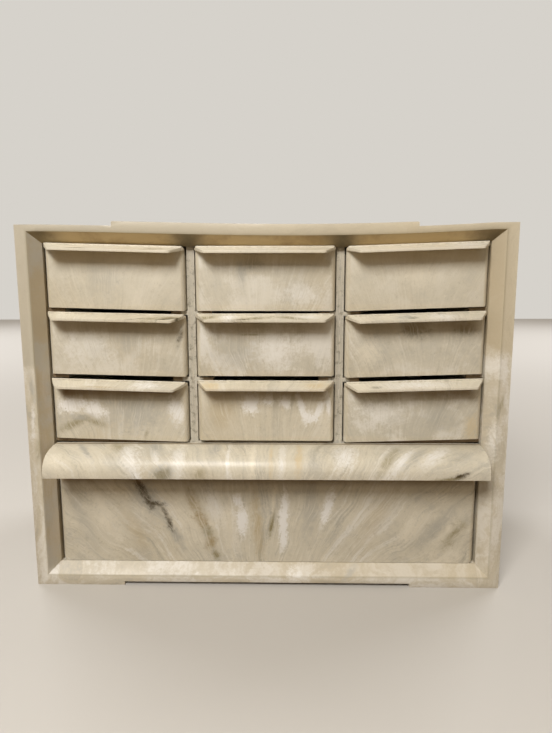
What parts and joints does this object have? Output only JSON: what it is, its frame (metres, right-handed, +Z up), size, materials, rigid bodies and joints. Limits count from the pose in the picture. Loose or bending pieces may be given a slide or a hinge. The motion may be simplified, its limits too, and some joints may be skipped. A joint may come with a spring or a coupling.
{
  "type": "desktop drawer cabinet",
  "caption": "Desktop drawer cabinet of marbled ivory plastic: a shell with a splayed front, nine small drawers with lip pulls, and a full-width drawer with a rounded pull.",
  "frame": {"origin": "on the surface that the cabinet stands on, under the middle of its box in plan", "axes": "+Z up, +X to the right across the front, drawer fronts face -Y"},
  "size_m": [0.318, 0.1752, 0.2466],
  "materials": {
    "shell_plastic": "semi-gloss moulded plastic, ivory with grey and olive-brown marbling",
    "drawer_plastic": "semi-gloss moulded plastic, ivory with white, grey and olive-brown swirls",
    "back_plastic": "matt moulded plastic sheet, ivory"
  },
  "bodies": {
    "cabinet": {"cabinet_shell": "shell_plastic", "back_panel": "back_plastic"},
    "large_drawer": {"large_drawer": "drawer_plastic"},
    "small_drawer_bottom_left": {"small_drawer_bottom_left": "drawer_plastic"},
    "small_drawer_bottom_middle": {"small_drawer_bottom_middle": "drawer_plastic"},
    "small_drawer_bottom_right": {"small_drawer_bottom_right": "drawer_plastic"},
    "small_drawer_centre_left": {"small_drawer_centre_left": "drawer_plastic"},
    "small_drawer_centre_middle": {"small_drawer_centre_middle": "drawer_plastic"},
    "small_drawer_centre_right": {"small_drawer_centre_right": "drawer_plastic"},
    "small_drawer_top_left": {"small_drawer_top_left": "drawer_plastic"},
    "small_drawer_top_middle": {"small_drawer_top_middle": "drawer_plastic"},
    "small_drawer_top_right": {"small_drawer_top_right": "drawer_plastic"}
  },
  "joints": [
    {"name": "large_drawer_slide", "type": "slide", "parent": "cabinet", "child": "large_drawer", "axis": [0, -1, 0], "range_m": [0, 0.125]},
    {"name": "small_drawer_bottom_left_slide", "type": "slide", "parent": "cabinet", "child": "small_drawer_bottom_left", "axis": [0, -1, 0], "range_m": [0, 0.125]},
    {"name": "small_drawer_bottom_middle_slide", "type": "slide", "parent": "cabinet", "child": "small_drawer_bottom_middle", "axis": [0, -1, 0], "range_m": [0, 0.125]},
    {"name": "small_drawer_bottom_right_slide", "type": "slide", "parent": "cabinet", "child": "small_drawer_bottom_right", "axis": [0, -1, 0], "range_m": [0, 0.125]},
    {"name": "small_drawer_centre_left_slide", "type": "slide", "parent": "cabinet", "child": "small_drawer_centre_left", "axis": [0, -1, 0], "range_m": [0, 0.125]},
    {"name": "small_drawer_centre_middle_slide", "type": "slide", "parent": "cabinet", "child": "small_drawer_centre_middle", "axis": [0, -1, 0], "range_m": [0, 0.125]},
    {"name": "small_drawer_centre_right_slide", "type": "slide", "parent": "cabinet", "child": "small_drawer_centre_right", "axis": [0, -1, 0], "range_m": [0, 0.125]},
    {"name": "small_drawer_top_left_slide", "type": "slide", "parent": "cabinet", "child": "small_drawer_top_left", "axis": [0, -1, 0], "range_m": [0, 0.125]},
    {"name": "small_drawer_top_middle_slide", "type": "slide", "parent": "cabinet", "child": "small_drawer_top_middle", "axis": [0, -1, 0], "range_m": [0, 0.125]},
    {"name": "small_drawer_top_right_slide", "type": "slide", "parent": "cabinet", "child": "small_drawer_top_right", "axis": [0, -1, 0], "range_m": [0, 0.125]}
  ]
}
